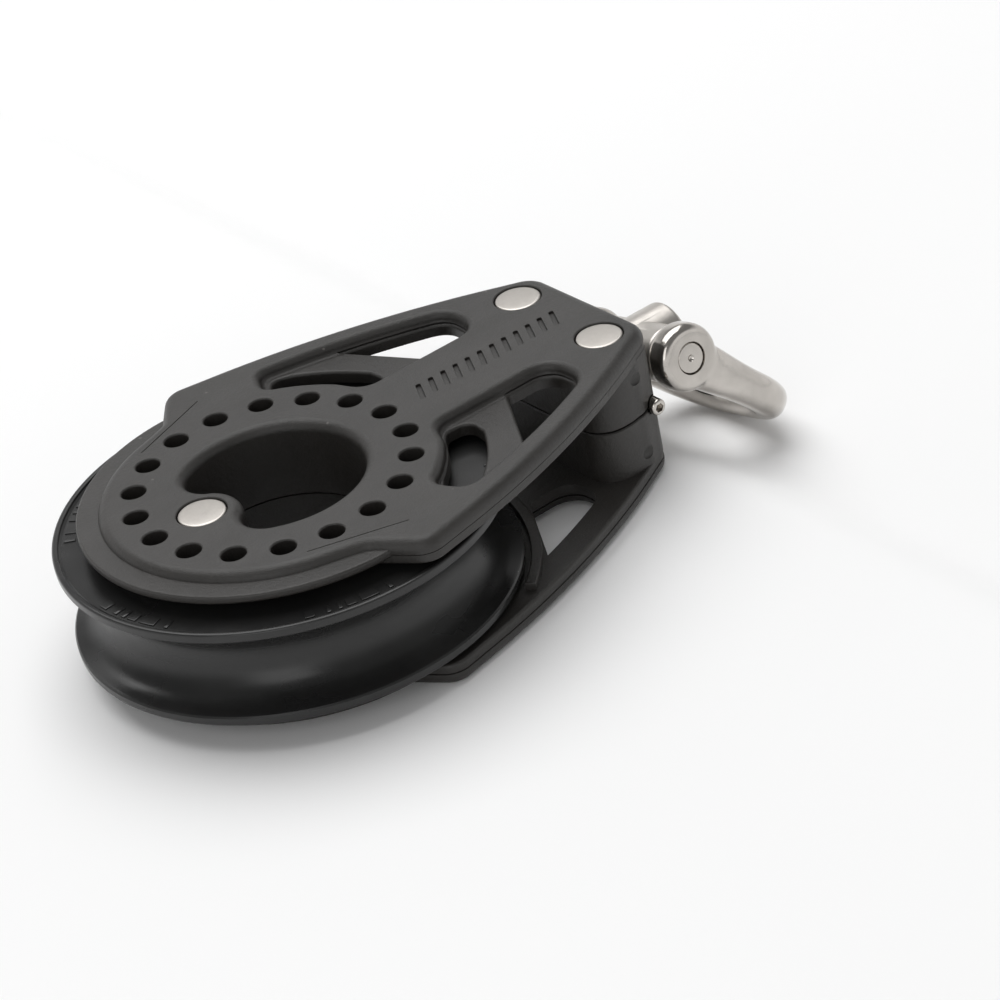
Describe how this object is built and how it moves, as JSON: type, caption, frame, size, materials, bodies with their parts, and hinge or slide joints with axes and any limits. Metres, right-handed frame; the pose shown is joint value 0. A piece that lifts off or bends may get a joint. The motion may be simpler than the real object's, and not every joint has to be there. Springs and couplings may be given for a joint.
{
  "type": "single sheave block",
  "caption": "Ball-bearing block: one grooved sheave between two moulded cheeks, with a swivelling, lockable head post and a D-shackle hanging from its cross pin.",
  "frame": {"origin": "centre of the object's box in x and y, at the level of the bow's lowest point; the sheave's axis crosses the cheeks' shared plane at x = -0.0295 m, y = 0, z = 0.0222 m", "axes": "+X from the sheave towards the shackle along the swivel's axis, +Y to the left cheek side, +Z along the sheave's axis, out of the upper cheek"},
  "size_m": [0.134, 0.075, 0.0359],
  "materials": {
    "cheek_nylon": "moulded glass-filled nylon, fine grain",
    "sheave_acetal": "satin turned and moulded",
    "cage_acetal": "satin",
    "race_resin": "satin bearing resin",
    "ball_resin": "polished bearing resin",
    "polished_stainless": "polished stainless steel",
    "satin_stainless": "satin stainless steel"
  },
  "bodies": {
    "frame": {"upper_cheek": "cheek_nylon", "lower_cheek": "cheek_nylon", "upper_inner_race": "race_resin", "lower_inner_race": "race_resin", "nose_rivet": "satin_stainless", "head_rivet_left": "satin_stainless", "head_rivet_right": "satin_stainless"},
    "sheave": {"sheave": "sheave_acetal"},
    "upper_bearing": {"upper_ball_cage": "cage_acetal", "upper_ball_01": "ball_resin", "upper_ball_02": "ball_resin", "upper_ball_03": "ball_resin", "upper_ball_04": "ball_resin", "upper_ball_05": "ball_resin", "upper_ball_06": "ball_resin", "upper_ball_07": "ball_resin", "upper_ball_08": "ball_resin", "upper_ball_09": "ball_resin", "upper_ball_10": "ball_resin", "upper_ball_11": "ball_resin", "upper_ball_12": "ball_resin"},
    "lower_bearing": {"lower_ball_cage": "cage_acetal", "lower_ball_01": "ball_resin", "lower_ball_02": "ball_resin", "lower_ball_03": "ball_resin", "lower_ball_04": "ball_resin", "lower_ball_05": "ball_resin", "lower_ball_06": "ball_resin", "lower_ball_07": "ball_resin", "lower_ball_08": "ball_resin", "lower_ball_09": "ball_resin", "lower_ball_10": "ball_resin", "lower_ball_11": "ball_resin", "lower_ball_12": "ball_resin"},
    "swivel": {"swivel_post": "satin_stainless", "swivel_washer": "race_resin"},
    "shackle": {"shackle": "polished_stainless"},
    "shackle_pin": {"shackle_pin": "polished_stainless"},
    "lock_screw": {"lock_screw": "polished_stainless"}
  },
  "joints": [
    {"name": "sheave_spin", "type": "hinge", "parent": "frame", "child": "sheave", "pos_m": [-0.02951, 0, 0.02215], "axis": [0, 0, 1], "continuous": true},
    {"name": "upper_bearing_orbit", "type": "hinge", "parent": "frame", "child": "upper_bearing", "pos_m": [-0.02951, 0, 0.02715], "axis": [0, 0, 1], "continuous": true},
    {"name": "lower_bearing_orbit", "type": "hinge", "parent": "frame", "child": "lower_bearing", "pos_m": [-0.02951, 0, 0.01715], "axis": [0, 0, 1], "continuous": true},
    {"name": "head_swivel", "type": "hinge", "parent": "frame", "child": "swivel", "pos_m": [0.03049, 0, 0.02215], "axis": [1, 0, 0], "continuous": true},
    {"name": "shackle_swing", "type": "hinge", "parent": "swivel", "child": "shackle", "pos_m": [0.04539, 0, 0.02215], "axis": [0, 0.9781, -0.2079], "range_deg": [-145, 55]},
    {"name": "shackle_pin_draw", "type": "slide", "parent": "shackle", "child": "shackle_pin", "axis": [0, 0.9781, -0.2079], "range_m": [0, 0.03]},
    {"name": "lock_screw_travel", "type": "slide", "parent": "frame", "child": "lock_screw", "axis": [0, 1, 0], "range_m": [0, 0.0025]}
  ],
  "couplings": [
    {"joint": "upper_bearing_orbit", "follows": "sheave_spin", "ratio": 0.5306},
    {"joint": "lower_bearing_orbit", "follows": "sheave_spin", "ratio": 0.5306}
  ]
}
